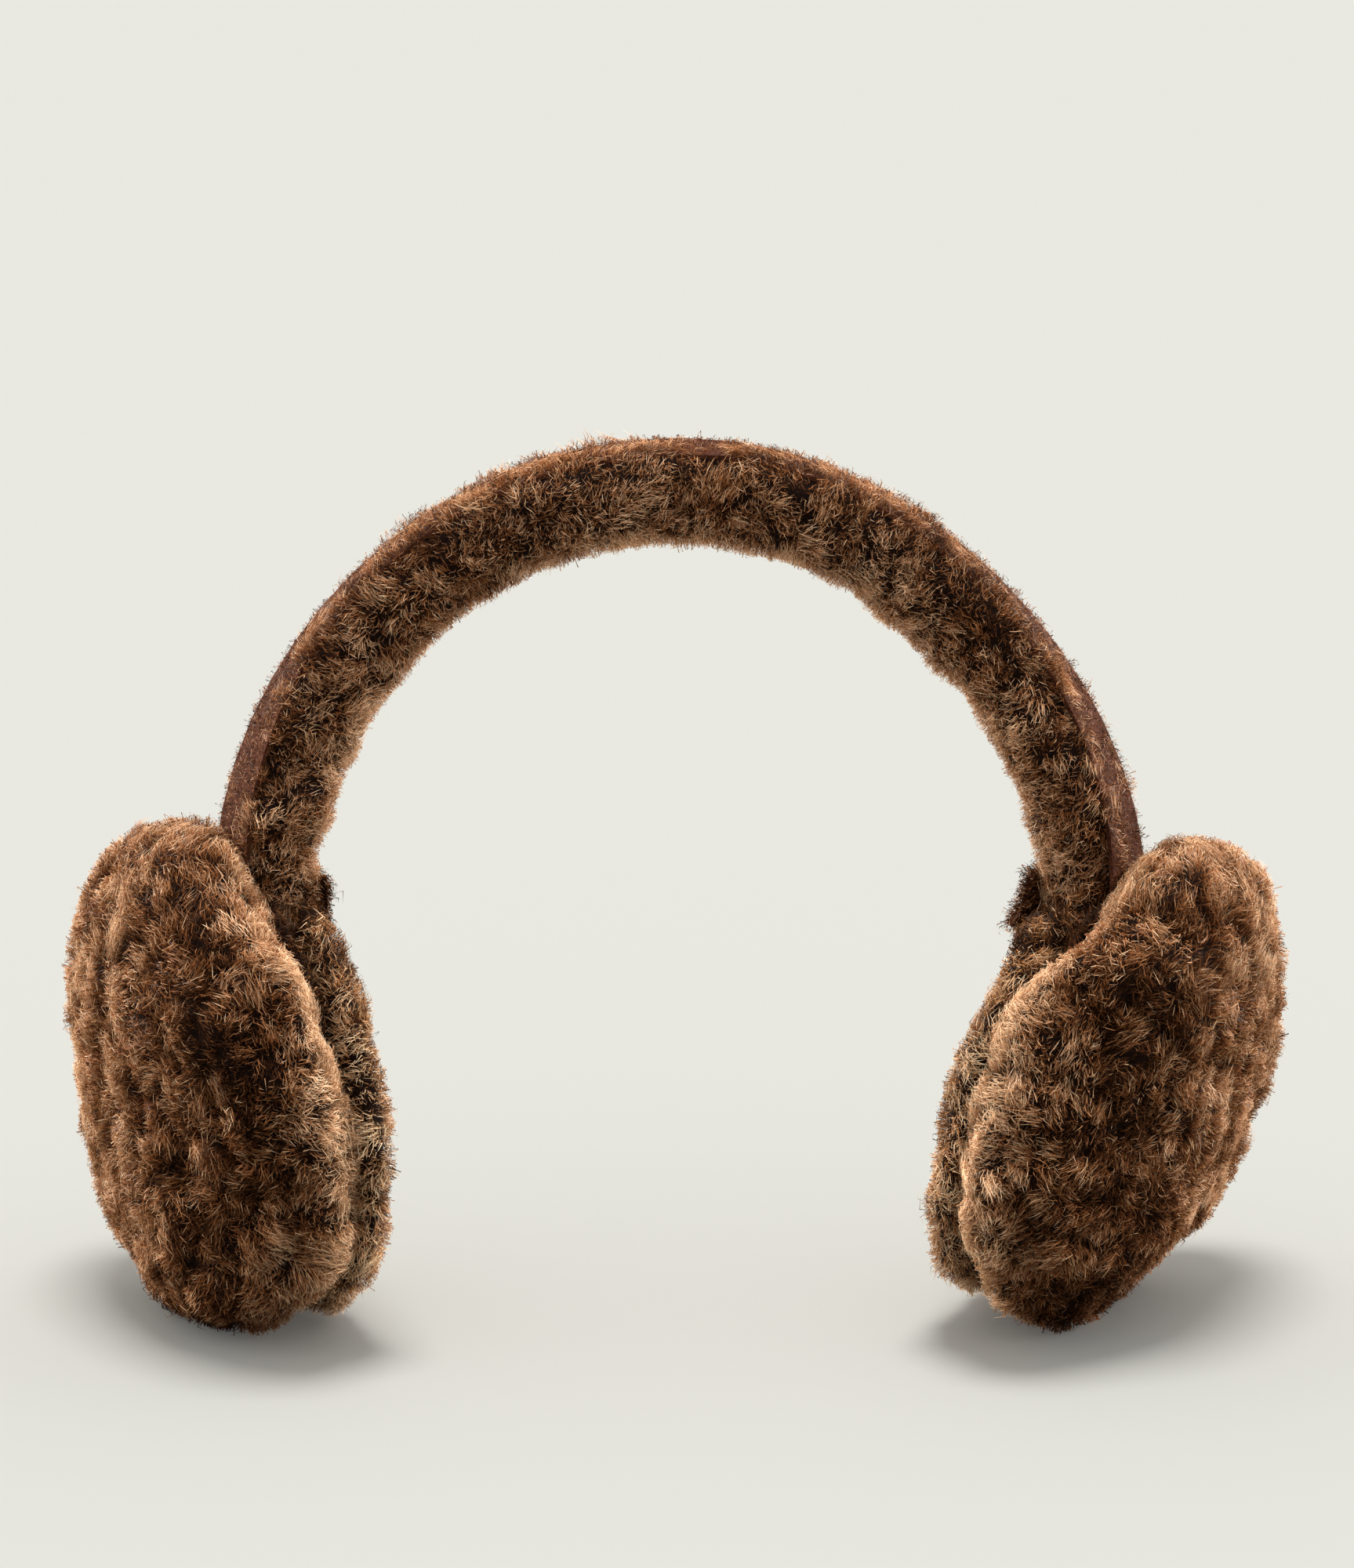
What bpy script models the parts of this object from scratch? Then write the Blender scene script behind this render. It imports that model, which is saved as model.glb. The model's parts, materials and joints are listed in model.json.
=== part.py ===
"""Fur earmuffs: a fur headband with a suede strip on its outer face, and two round fur cups.

Metres, +Z up, -Y to the front. Left and right are as seen from the front: left is -X.
The earmuffs stand on their cups. The origin is on the floor, below the middle of the band.
Fur is modelled as locks: short tufts that are one body with the skin under them.
"""

import math
from collections import namedtuple

import bmesh
import bpy
from mathutils import Matrix, Vector, noise

# Clearance between pieces that touch
GAP = 0.0003

# Headband: an arch of one radius, whose section turns towards the front near its ends
BAND_RADIUS = 0.0862
# Half of the arch, from its top to the end inside a cup: a little more than a quarter turn
BAND_SWEEP_DEG = 97
BAND_WIDTH = 0.032
BAND_THICKNESS = 0.022
BAND_LOCK = 0.0036
BAND_TWIST_DEG = 28
BAND_TWIST_GROWTH = 2.2
BAND_STATIONS = 34
SUEDE_WIDTH = 0.022
SUEDE_THICKNESS = 0.0012
SUEDE_CROWN = 0.0004
SUEDE_CELLS = 2

# How far the band's end goes down between the pads, below the rim of the outer pad
BAND_INSET = 0.031
# How far the seam lies outside the band's middle line
SEAM_OFFSET = 0.0062
# Bare stretch at each end of the sleeve, where the pads and the fold close over it
BARE_END = 0.025

# Cups: a thick outer pad and a thinner inner pad on each side of a seam welt
SEAM_RADIUS = 0.0425
SEAM_THICKNESS = 0.0022
OUTER_RADIUS = 0.0575
OUTER_BACK = 0.0100
OUTER_DOME = 0.0256
OUTER_LOCK = 0.0048
OUTER_CELLS = 6
INNER_RADIUS = 0.0508
INNER_BACK = 0.0055
INNER_DOME = 0.0087
INNER_LOCK = 0.0034
INNER_CELLS = 5
# How much lower the inner pad's middle lies than the outer pad's, and the seam's half of it
INNER_DROP = 0.0065
PAD_SQUARENESS = 2.6
# The back is a shallow bulge of its own, cut flat at this share of its depth
BACK_FLATNESS = 0.8
# Edge rounding of the welt, as a share of its thickness
WELT_ROUNDING = 0.3
# How far the pile is pressed flat where a cup stands on the floor
FLOOR_PRESS = 0.0040

# Neck fold: gathered suede where the band's inner face meets the inner pad
FOLD_WIDTH = 0.021
FOLD_HEIGHT = 0.013
FOLD_THICKNESS = 0.0016
FOLD_RIPPLE = 0.0008
FOLD_RIPPLES = 2.5
FOLD_COLUMNS = 14
FOLD_ROWS = 4
# How far above the end of the band the fold's lower edge lies
FOLD_LIFT = 0.0035

# Locks: how each cell of the skin becomes one tuft
LOCK_TAPER = 0.18
LOCK_SHOULDER = 0.68
LOCK_VARIATION = 0.45
LOCK_SWAY = 0.55
LOCK_PATCH = 0.011
# How strongly the locks of a pad comb away from its middle
PAD_COMB = 0.5
CELL_JITTER = 0.10
# Cells that face the seam more than this, as a cosine, lie hidden and carry no lock
SKIN_FACING = 0.45

# The two sides differ a little: how far each cup toes in and leans, how flat the arch's
# shoulder is there, as a share of its radius, and how far the neck fold flares, as a share
# of its height
Side = namedtuple("Side", "name sign toe_deg lean_deg flat_shoulder fold_flare")
SIDES = (
    Side("left", -1, 25, 3, 0.005, 0.14),
    Side("right", 1, 27, 13, 0.028, 0.32),
)

# Pads of a cup. back and dome are depths on each side of the widest ring, locks included.
Pad = namedtuple("Pad", "name inward radius back dome lock cells drop")
OUTER_PAD = Pad(
    "outer_pad", False, OUTER_RADIUS, OUTER_BACK, OUTER_DOME, OUTER_LOCK, OUTER_CELLS, 0)
INNER_PAD = Pad(
    "inner_pad", True, INNER_RADIUS, INNER_BACK, INNER_DOME, INNER_LOCK, INNER_CELLS, INNER_DROP)

# Dents of the outer pads. around_deg runs from the front edge of the pad over its top,
# out is a share of the radius, and size and depth are shares of the radius too.
Dent = namedtuple("Dent", "side around_deg out size depth")
DENTS = (
    Dent("left", -20, 0.62, 0.26, 0.050),
    Dent("left", 10, 0.80, 0.20, 0.045),
    Dent("left", 200, 0.75, 0.30, 0.040),
    Dent("right", -25, 0.55, 0.26, 0.050),
    Dent("right", 35, 0.78, 0.22, 0.040),
    Dent("right", 150, 0.72, 0.28, 0.035),
)

# Sleeve section from the edge of the suede round to the middle of the inner face.
# across is a share of the skin's half width, out runs from 1 at the suede to -1 inside.
SectionPoint = namedtuple("SectionPoint", "across out")
SLEEVE_SIDE = (
    SectionPoint(1.00, 0.22),
    SectionPoint(0.76, -0.74),
)

FUR_BROWN = (0.150, 0.068, 0.031)
INNER_FUR_BROWN = (0.125, 0.060, 0.029)
SUEDE_BROWN = (0.130, 0.048, 0.027)
SEAM_BROWN = (0.035, 0.017, 0.010)

# Offset in the noise between one component of a smooth vector field and the next
NOISE_SHIFT = Vector((17.3, 5.1, 9.7))
CUTTER_REACH = 0.15
CUTTER_STEPS = 16


def make_material(name, colour, roughness):
    """A Principled material of one colour."""
    material = bpy.data.materials.new(name)
    material.use_nodes = True
    shader = material.node_tree.nodes["Principled BSDF"]
    shader.inputs["Base Color"].default_value = (*colour, 1)
    shader.inputs["Roughness"].default_value = roughness
    shader.inputs["Metallic"].default_value = 0
    return material


def make_collection(name):
    collection = bpy.data.collections.new(name)
    bpy.context.scene.collection.children.link(collection)
    return collection


def add_object(name, bm, collection, material=None):
    """Turn a bmesh into an object with smooth shading."""
    bmesh.ops.recalc_face_normals(bm, faces=bm.faces[:])
    mesh = bpy.data.meshes.new(name)
    bm.to_mesh(mesh)
    bm.free()
    mesh.shade_smooth()
    obj = bpy.data.objects.new(name, mesh)
    collection.objects.link(obj)
    if material:
        mesh.materials.append(material)
    return obj


def loft(rings):
    """A closed body through rings of equally many points, with flat ends."""
    bm = bmesh.new()
    loops = [[bm.verts.new(point) for point in ring] for ring in rings]
    count = len(rings[0])
    for near, far in zip(loops, loops[1:]):
        for k in range(count):
            after = (k + 1) % count
            bm.faces.new((near[k], near[after], far[after], far[k]))
    bm.faces.new(loops[0])
    bm.faces.new(reversed(loops[-1]))
    return bm


def wander(point, scale):
    """A smooth vector field: its value changes over lengths of about one scale."""
    spot = Vector(point) / scale
    return Vector([noise.noise(spot + NOISE_SHIFT * k) for k in range(1, 4)])


def raise_locks(bm, faces, height, sway):
    """Make each face one lock: a tapered tuft whose tip leans along the pile."""
    for face in faces:
        centre = face.calc_center_median()
        normal = face.normal.copy()
        breadth = math.sqrt(face.calc_area())
        patch = noise.noise(centre / LOCK_PATCH)
        rise = height * (1 - LOCK_VARIATION * abs(patch))
        lean = sway(centre, normal) * rise * LOCK_SWAY
        bmesh.ops.inset_individual(bm, faces=[face], thickness=breadth * LOCK_TAPER)
        for vert in face.verts:
            vert.co += normal * rise * LOCK_SHOULDER + lean * LOCK_SHOULDER
        tip = bmesh.ops.poke(bm, faces=[face])["verts"][0]
        tip.co += (normal * rise + lean) * (1 - LOCK_SHOULDER)


def band_frame(side, share):
    """Middle of the band at a share of its half length, with its across and out axes.

    share is 0 at the top of the arch and 1 where the band ends inside the cup.
    """
    angle = share * math.radians(BAND_SWEEP_DEG)
    radial = Vector((side.sign * math.sin(angle), 0, math.cos(angle)))
    front = Vector((0, -1, 0))
    twist = math.radians(BAND_TWIST_DEG) * share ** BAND_TWIST_GROWTH
    out = radial * math.cos(twist) + front * math.sin(twist)
    across = front * math.cos(twist) - radial * math.sin(twist)
    flat = side.flat_shoulder * math.sin(share * math.pi) ** 2
    return radial * BAND_RADIUS * (1 - flat), across, out


def half_length():
    """Length of the band's middle line from its top to one end."""
    return BAND_RADIUS * math.radians(BAND_SWEEP_DEG)


def cup_frame(side):
    """Matrix of a cup: its hub on the seam, X to the front edge, Y up and Z outwards."""
    toe = math.radians(side.toe_deg)
    lean = math.radians(side.lean_deg)
    outward = Vector((
        side.sign * math.cos(lean) * math.cos(toe),
        -math.cos(lean) * math.sin(toe),
        -math.sin(lean),
    ))
    up = Vector((
        side.sign * math.sin(lean) * math.cos(toe),
        -math.sin(lean) * math.sin(toe),
        math.cos(lean),
    ))
    front = outward.cross(up) if side.sign < 0 else up.cross(outward)
    end = band_frame(side, 1)[0]
    hub = end + outward * SEAM_OFFSET - up * (OUTER_RADIUS - BAND_INSET)
    matrix = Matrix((front, up, outward)).transposed().to_4x4()
    matrix.translation = hub
    return matrix


def floor_height():
    """Height of the floor below the arch's centre, with the pile of the cups pressed."""
    widest = SEAM_THICKNESS / 2 + GAP + OUTER_BACK
    lowest = []
    for side in SIDES:
        hub = cup_frame(side).translation
        lean = math.radians(side.lean_deg)
        lowest.append(hub.z - widest * math.sin(lean) - OUTER_RADIUS * math.cos(lean))
    return min(lowest) + FLOOR_PRESS


def suede_steps():
    """Places across half of the suede where its section has a point."""
    return [SUEDE_WIDTH / 2 * step / SUEDE_CELLS for step in range(SUEDE_CELLS + 1)]


def skin_side():
    """Skin points of one edge of the sleeve, below the suede, with the inner face's depth."""
    half = BAND_WIDTH / 2 - BAND_LOCK
    top = BAND_THICKNESS / 2 - SUEDE_THICKNESS - GAP
    low = BAND_THICKNESS / 2 - BAND_LOCK
    middle = (top - low) / 2
    reach = (top + low) / 2
    return [(half * p.across, middle + reach * p.out) for p in SLEEVE_SIDE], low


def mirrored(right, bottom):
    """A closed outline: the right half, the point at the bottom and the left half."""
    left = [(-across, out) for across, out in reversed(right) if across > 0]
    return right + [bottom] + left


def sleeve_section():
    """Skin outline of the fur sleeve, from the middle of the suede all the way round."""
    side, low = skin_side()
    top = BAND_THICKNESS / 2 - SUEDE_THICKNESS - GAP
    under = [(across, top) for across in suede_steps()]
    return mirrored(under + side, (0, -low))


def suede_section():
    """Outline of the suede strip, slightly crowned on its outer face."""
    half = SUEDE_WIDTH / 2
    low = BAND_THICKNESS / 2 - SUEDE_THICKNESS
    upper = [
        (across, BAND_THICKNESS / 2 - SUEDE_CROWN * (across / half) ** 2)
        for across in suede_steps()]
    lower = [(across, low) for across in reversed(suede_steps()) if across > 0]
    return mirrored(upper + lower, (0, low))


def socket_section(grow):
    """Outline of the band with its suede, grown on every side."""
    side, low = skin_side()
    shoulder, hip = side
    half = shoulder[0] + grow
    right = [
        (half, BAND_THICKNESS / 2 + grow),
        (half, shoulder[1] + grow),
        (hip[0] + grow, hip[1] - grow)]
    return mirrored(right, (0, -low - grow))


def band_ring(section, side, share):
    """Place one section on the band."""
    middle, across, out = band_frame(side, share)
    return [middle + across * a + out * o for a, o in section]


def whole_band():
    """Stations from the left end over the top to the right end."""
    left, right = SIDES
    half = BAND_STATIONS // 2
    down = [(left, k / half) for k in range(half, 0, -1)]
    return down + [(right, k / half) for k in range(half + 1)]


def make_headband_fur(parts, material):
    """Fur sleeve over the inner face and both edges, bare under the suede."""
    stations = whole_band()
    section = sleeve_section()
    bm = loft([band_ring(section, *station) for station in stations])
    bmesh.ops.recalc_face_normals(bm, faces=bm.faces[:])
    bm.faces.ensure_lookup_table()
    count = len(section)
    furred = []
    for i in range(len(stations) - 1):
        ends = (stations[i], stations[i + 1])
        depth = min(1 - share for side, share in ends) * half_length()
        if depth < BARE_END:
            continue
        # The first and last cells of a ring lie under the suede
        cells = range(SUEDE_CELLS, count - SUEDE_CELLS)
        furred += [bm.faces[i * count + k] for k in cells]

    def sway(centre, normal):
        """Locks on the edges lean outwards, past the suede, and the others wander."""
        radial = Vector((centre.x, 0, centre.z)).normalized()
        edge = min(abs(centre.y) / (BAND_WIDTH / 2), 1)
        drift = wander(centre, LOCK_PATCH)
        return radial * edge * edge + (drift - normal * drift.dot(normal)) * (1 - edge)

    raise_locks(bm, furred, BAND_LOCK, sway)
    return add_object("headband_fur", bm, parts, material)


def make_headband_suede(parts, material):
    """Suede strip along the outer face of the band."""
    bm = loft([band_ring(suede_section(), *station) for station in whole_band()])
    return add_object("headband_suede", bm, parts, material)


def make_cutter(name, side, low, section_at, cutters):
    """A cutter along the band, from a height above its end to clear of the pads."""
    high = BAND_INSET + OUTER_LOCK + BARE_END
    rings = []
    for k in range(CUTTER_STEPS + 1):
        above = low + (high - low) * k / CUTTER_STEPS
        rings.append(band_ring(section_at(above), side, 1 - above / half_length()))
    return add_object("cut_" + side.name + "_" + name, loft(rings), cutters)


def make_sockets(side, cutters):
    """Cutters that clear a cup for the band's end and for the neck fold."""
    def band_section(above):
        locks = (above - BARE_END) / BAND_LOCK + 1
        return socket_section(GAP + BAND_LOCK * min(max(locks, 0), 1))

    half = max(FOLD_WIDTH, BAND_WIDTH - 2 * BAND_LOCK) / 2 + GAP
    inside = BAND_THICKNESS / 2 - 2 * BAND_LOCK
    flare = side.fold_flare * FOLD_HEIGHT
    outside = inside + BAND_LOCK + FOLD_THICKNESS + flare + FOLD_RIPPLE + 2 * GAP
    block = [(half, -inside), (half, -outside), (-half, -outside), (-half, -inside)]
    below = FOLD_LIFT - FOLD_THICKNESS / 2 - GAP
    return [
        make_cutter("band", side, -GAP, band_section, cutters),
        make_cutter("fold", side, below, lambda above: block, cutters),
    ]


def pad_skin(pad):
    """A round cushion, below its locks, with a flat back at its origin and a dome along +Z."""
    bm = bmesh.new()
    bmesh.ops.create_cube(bm, size=2)
    bmesh.ops.subdivide_edges(bm, edges=bm.edges[:], cuts=pad.cells - 1, use_grid_fill=True)
    power = PAD_SQUARENESS
    radius = pad.radius - pad.lock
    for vert in bm.verts:
        even = Vector([math.tan(c * math.pi / 4) for c in vert.co]).normalized()
        spot = (even + wander(even, 1 / pad.cells) * CELL_JITTER).normalized()
        ring = math.hypot(spot.x, spot.y)
        scale = (ring ** power + abs(spot.z) ** power) ** (-1 / power)
        deep = pad.dome - pad.lock if spot.z > 0 else pad.back / BACK_FLATNESS
        height = max(spot.z * scale * deep, -pad.back)
        vert.co = (spot.x * scale * radius, spot.y * scale * radius, pad.back + height)
    bm.normal_update()
    return bm


def press_dents(bm, side, radius):
    """Push the skin in at the dents of one outer pad."""
    for dent in [d for d in DENTS if d.side == side.name]:
        around = math.radians(dent.around_deg)
        spot = Vector((math.cos(around), math.sin(around))) * dent.out * radius
        for vert in bm.verts:
            if vert.co.z < OUTER_BACK:
                continue
            away = (vert.co.xy - spot).length / (dent.size * radius)
            vert.co -= vert.normal * dent.depth * radius * math.exp(-away * away)
    bm.normal_update()


def make_pad(pad, side, parts, material, cutters):
    """One fur pad, seated on the seam welt, notched for the band and flat on the floor."""
    bm = pad_skin(pad)
    if not pad.inward:
        press_dents(bm, side, pad.radius)
    furred = [face for face in bm.faces if face.normal.z > -SKIN_FACING]

    def sway(centre, normal):
        """Locks comb away from the middle of the pad and wander a little."""
        comb = Vector((centre.x, centre.y, 0)) / pad.radius
        drift = wander(centre + Vector((side.sign * BAND_RADIUS, 0, 0)), LOCK_PATCH)
        lean = comb * PAD_COMB + drift
        return lean - normal * lean.dot(normal)

    raise_locks(bm, furred, pad.lock, sway)
    seat = SEAM_THICKNESS / 2 + GAP
    flip = Matrix.Rotation(math.pi, 4, "Y") if pad.inward else Matrix.Identity(4)
    place = cup_frame(side) @ flip @ Matrix.Translation((0, -pad.drop, seat))
    bmesh.ops.triangulate(bm, faces=bm.faces[:])
    bmesh.ops.transform(bm, matrix=place, verts=bm.verts[:])
    obj = add_object(side.name + "_" + pad.name, bm, parts, material)
    cut_away(obj, cutters)
    return obj


def make_seam(side, parts, material, cutters):
    """Round welt of suede between the two pads of a cup."""
    bm = bmesh.new()
    bmesh.ops.create_cone(
        bm, cap_ends=True, segments=40, depth=SEAM_THICKNESS,
        radius1=SEAM_RADIUS, radius2=SEAM_RADIUS)
    place = cup_frame(side) @ Matrix.Translation((0, -INNER_DROP / 2, 0))
    bmesh.ops.transform(bm, matrix=place, verts=bm.verts[:])
    seam = add_object(side.name + "_seam", bm, parts, material)
    bevel = seam.modifiers.new("rounded edge", "BEVEL")
    bevel.width = SEAM_THICKNESS * WELT_ROUNDING
    bevel.segments = 1
    cut_away(seam, cutters)
    return seam


def make_neck_fold(side, parts, material):
    """Gathered flap that flares from the band's inner face over the inner pad."""
    bm = bmesh.new()
    rows = []
    for row in range(FOLD_ROWS + 1):
        down = row / FOLD_ROWS
        share = 1 - (FOLD_LIFT + FOLD_HEIGHT * (1 - down)) / half_length()
        middle, across, out = band_frame(side, share)
        start = BAND_THICKNESS / 2 - BAND_LOCK + GAP + FOLD_THICKNESS / 2
        line = []
        for column in range(FOLD_COLUMNS + 1):
            along = 2 * column / FOLD_COLUMNS - 1
            wave = (1 - math.cos(along * FOLD_RIPPLES * 2 * math.pi)) / 2
            flare = side.fold_flare * FOLD_HEIGHT * down ** 2
            depth = start + flare + FOLD_RIPPLE * wave * down
            reach = along * (FOLD_WIDTH - FOLD_THICKNESS) / 2
            line.append(bm.verts.new(middle + across * reach - out * depth))
        rows.append(line)
    for upper, lower in zip(rows, rows[1:]):
        for k in range(FOLD_COLUMNS):
            bm.faces.new((upper[k], upper[k + 1], lower[k + 1], lower[k]))
    fold = add_object(side.name + "_neck_fold", bm, parts, material)
    shell = fold.modifiers.new("suede thickness", "SOLIDIFY")
    shell.thickness = FOLD_THICKNESS
    shell.offset = 0
    return fold


def make_floor_cutter(cutters):
    """Block below the floor that presses the pile flat."""
    bpy.ops.mesh.primitive_cube_add(size=2 * CUTTER_REACH)
    block = bpy.context.object
    block.name = "cut_floor"
    block.location = (0, 0, floor_height() - CUTTER_REACH)
    for owner in block.users_collection:
        owner.objects.unlink(block)
    cutters.objects.link(block)
    return block


def cut_away(obj, cutters):
    """Take each cutter out of an object."""
    for cutter in cutters:
        cut = obj.modifiers.new(cutter.name, "BOOLEAN")
        cut.operation = "DIFFERENCE"
        cut.solver = "EXACT"
        cut.object = cutter


def stand_on_origin(root, parts):
    """Move the whole pair so that its box stands on the origin."""
    bpy.context.view_layer.update()
    graph = bpy.context.evaluated_depsgraph_get()
    corners = []
    for obj in parts.objects:
        if obj.type == "MESH":
            ready = obj.evaluated_get(graph)
            corners += [ready.matrix_world @ v.co for v in ready.data.vertices]
    low = Vector([min(c[k] for c in corners) for k in range(3)])
    high = Vector([max(c[k] for c in corners) for k in range(3)])
    root.location = (-(low.x + high.x) / 2, -(low.y + high.y) / 2, -low.z)


def main():
    for obj in list(bpy.data.objects):
        bpy.data.objects.remove(obj)
    parts = make_collection("fur_earmuffs")
    cutters = make_collection("cutters")
    root = bpy.data.objects.new("earmuffs_stand", None)
    parts.objects.link(root)

    fur = make_material("fur", FUR_BROWN, 0.9)
    inner_fur = make_material("inner_fur", INNER_FUR_BROWN, 0.9)
    suede = make_material("suede", SUEDE_BROWN, 0.85)
    seam = make_material("seam_suede", SEAM_BROWN, 0.9)

    make_headband_fur(parts, fur)
    make_headband_suede(parts, suede)
    floor = make_floor_cutter(cutters)
    for side in SIDES:
        sockets = make_sockets(side, cutters)
        tools = [*sockets, floor]
        make_pad(OUTER_PAD, side, parts, fur, tools)
        make_pad(INNER_PAD, side, parts, inner_fur, tools)
        make_seam(side, parts, seam, sockets)
        make_neck_fold(side, parts, suede)

    for cutter in cutters.objects:
        cutter.hide_render = True
        cutter.display_type = "WIRE"
    for obj in [*parts.objects, *cutters.objects]:
        if obj is not root:
            obj.parent = root
    stand_on_origin(root, parts)


main()
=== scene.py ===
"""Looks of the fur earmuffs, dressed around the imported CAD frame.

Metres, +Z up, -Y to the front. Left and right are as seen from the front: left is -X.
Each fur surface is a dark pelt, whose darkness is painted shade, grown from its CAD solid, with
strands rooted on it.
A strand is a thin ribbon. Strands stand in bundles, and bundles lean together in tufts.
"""

import json
import math
from collections import namedtuple

import bpy
import numpy as np
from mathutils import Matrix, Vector, kdtree

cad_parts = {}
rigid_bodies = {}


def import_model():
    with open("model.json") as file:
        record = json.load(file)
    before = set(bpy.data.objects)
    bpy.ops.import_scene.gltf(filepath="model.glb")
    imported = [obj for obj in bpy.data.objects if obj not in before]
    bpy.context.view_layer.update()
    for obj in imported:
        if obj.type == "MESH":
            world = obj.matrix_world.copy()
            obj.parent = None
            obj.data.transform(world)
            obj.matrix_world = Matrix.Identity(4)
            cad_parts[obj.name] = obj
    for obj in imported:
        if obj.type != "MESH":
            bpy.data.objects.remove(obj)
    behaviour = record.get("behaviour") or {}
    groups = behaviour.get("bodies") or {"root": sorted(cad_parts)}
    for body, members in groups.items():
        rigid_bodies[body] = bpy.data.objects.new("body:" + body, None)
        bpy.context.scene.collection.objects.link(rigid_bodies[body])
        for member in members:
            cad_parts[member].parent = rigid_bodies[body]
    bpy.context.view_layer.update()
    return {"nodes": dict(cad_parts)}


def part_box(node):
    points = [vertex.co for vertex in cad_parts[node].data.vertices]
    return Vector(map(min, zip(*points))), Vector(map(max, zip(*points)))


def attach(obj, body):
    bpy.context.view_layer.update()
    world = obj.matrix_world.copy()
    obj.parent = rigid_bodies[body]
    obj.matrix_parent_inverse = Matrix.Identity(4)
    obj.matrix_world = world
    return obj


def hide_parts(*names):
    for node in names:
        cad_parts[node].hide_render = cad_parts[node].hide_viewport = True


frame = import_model()

# Camera: where it looks, from how far and how high
CAMERA_TARGET = (0, 0, 0.1175)
CAMERA_DISTANCE = 1.2
CAMERA_ELEVATION_DEG = 12
CAMERA_LENS_MM = 130
CAMERA_SENSOR_MM = 36

# Colours, in linear light
FLOOR_COLOUR = (0.609, 0.612, 0.575)
FLOOR_GLOW = (0.060, 0.060, 0.0575)
WORLD_COLOUR = (1.0, 0.998, 0.98)
WORLD_STRENGTH = 0.62

# A lamp far away: around_deg turns from the front to the right, spread_deg softens it.
# lights_floor says whether the floor gets its light too.
Lamp = namedtuple("Lamp", "name around_deg up_deg strength spread_deg colour lights_floor")
LAMPS = (
    Lamp("top_lamp", 0, 87, 1.95, 23, (1.0, 0.99, 0.97), True),
    Lamp("left_lamp", -83, 42, 4.40, 20, (1.0, 0.96, 0.91), False),
    Lamp("right_lamp", 83, 42, 4.40, 20, (1.0, 0.96, 0.91), False),
    Lamp("left_rim_lamp", -130, 22, 4.80, 20, (1.0, 0.98, 0.95), False),
    Lamp("right_rim_lamp", 130, 22, 4.80, 20, (1.0, 0.98, 0.95), False),
)

# How shiny each surface is
Surface = namedtuple("Surface", "roughness specular")
FLOOR_SURFACE = Surface(0.9, 0.1)
FUR_SURFACE = Surface(0.45, 0.10)
PELT_SURFACE = Surface(0.95, 0.1)
SUEDE_SURFACE = Surface(0.9, 0.05)

# How the smooth pelt is made from a solid's locks. It has lumps of two sizes.
PELT_VOXEL = 0.0018
PELT_SMOOTHING = 24
Lump = namedtuple("Lump", "size seed")
PELT_LUMPS = (Lump(0.0055, 3), Lump(0.010, 7))
PELT_LUMP_HEIGHT = 0.0009
FLOOR_CLEARANCE = 0.0010

# Thickness of the headband, fur and suede together
BAND_THICKNESS = 0.022

# Fur of each kind of surface. inset is how far the pelt lies below the CAD locks' middle.
# lean_deg is the pile's tilt from upright, tuft is the size of a lock of pile, and pull is
# how far a lock draws its hairs in.
Fur = namedtuple("Fur", "strands length width lean_deg tuft pull inset")
FURS = {
    "outer_pad": Fur(97000, 0.0040, 0.00020, 36, 0.0056, 0.28, 0.0020),
    "inner_pad": Fur(50000, 0.0034, 0.00019, 38, 0.0044, 0.24, 0.0016),
    "headband": Fur(90000, 0.0029, 0.00017, 36, 0.0044, 0.24, 0.0010),
    "suede": Fur(24000, 0.0009, 0.00016, 58, 0.0016, 0.20, 0),
    "suede_edge": Fur(16000, 0.0034, 0.00016, 44, 0.0048, 0.10, 0),
    "neck_fold": Fur(6000, 0.0026, 0.00020, 55, 0.0030, 0.12, 0),
    "seam": Fur(5000, 0.0030, 0.00020, 40, 0.0030, 0.12, 0),
}
# A bundle's strands, and how far their roots and tips spread
BUNDLE_STRANDS = 5
BUNDLE_ROOT = 0.00075
BUNDLE_TIP = 0.00085
# A strand is widest and bent at this share of its length. Its root is sunk into the pelt.
STRAND_MIDDLE = 0.55
STRAND_ROOT_DEPTH = 0.0004
TIP_FRIZZ = 0.00085
BEND_FRIZZ = 0.00045
# The pile is sheared: above this share of its length a tip is drawn down by this much of
# what is over
SHEARED = 0.74
SHEARED_AWAY = 0.8
# How the pile's direction changes: smoothly over the surface, in two sizes, from lock to
# lock and from bundle to bundle
WANDER_SCALE = 0.014
WANDER_AMOUNT = 1.0
SMALL_WANDER_SCALE = WANDER_SCALE * 0.4
SMALL_WANDER_AMOUNT = 0.6
LOCK_TURN = 0.65
BUNDLE_TURN = 0.12
# How length, lean and tone differ from lock to lock and from bundle to bundle
Spread = namedtuple("Spread", "lock bundle")
LENGTH_SPREAD = Spread(0.15, 0.12)
LEAN_SPREAD_DEG = Spread(14, 7)
TONE_SPREAD = Spread(0.13, 0.06)
LEAN_LIMITS = (0.05, 1.45)
# How a strand differs from its bundle: as shares of its length and width, and in tone
STRAND_LENGTHS = (0.50, 1.10)
STRAND_WIDTHS = (0.7, 1.3)
STRAND_TONE_SPREAD = 0.15
# Tone goes from 0 to 1. It drifts smoothly over the surface. Besides the pile's own tone at
# random, it carries painted light and shade.
TONE_MIDDLE = 0.55
TONE_DRIFT = 0.14
TONE_LIMITS = (0.02, 0.98)
# How far a bundle's tip hooks, and how far its middle curls aside, as shares of its length
HOOK = 0.22
CURL_ASIDE = 0.32
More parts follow.
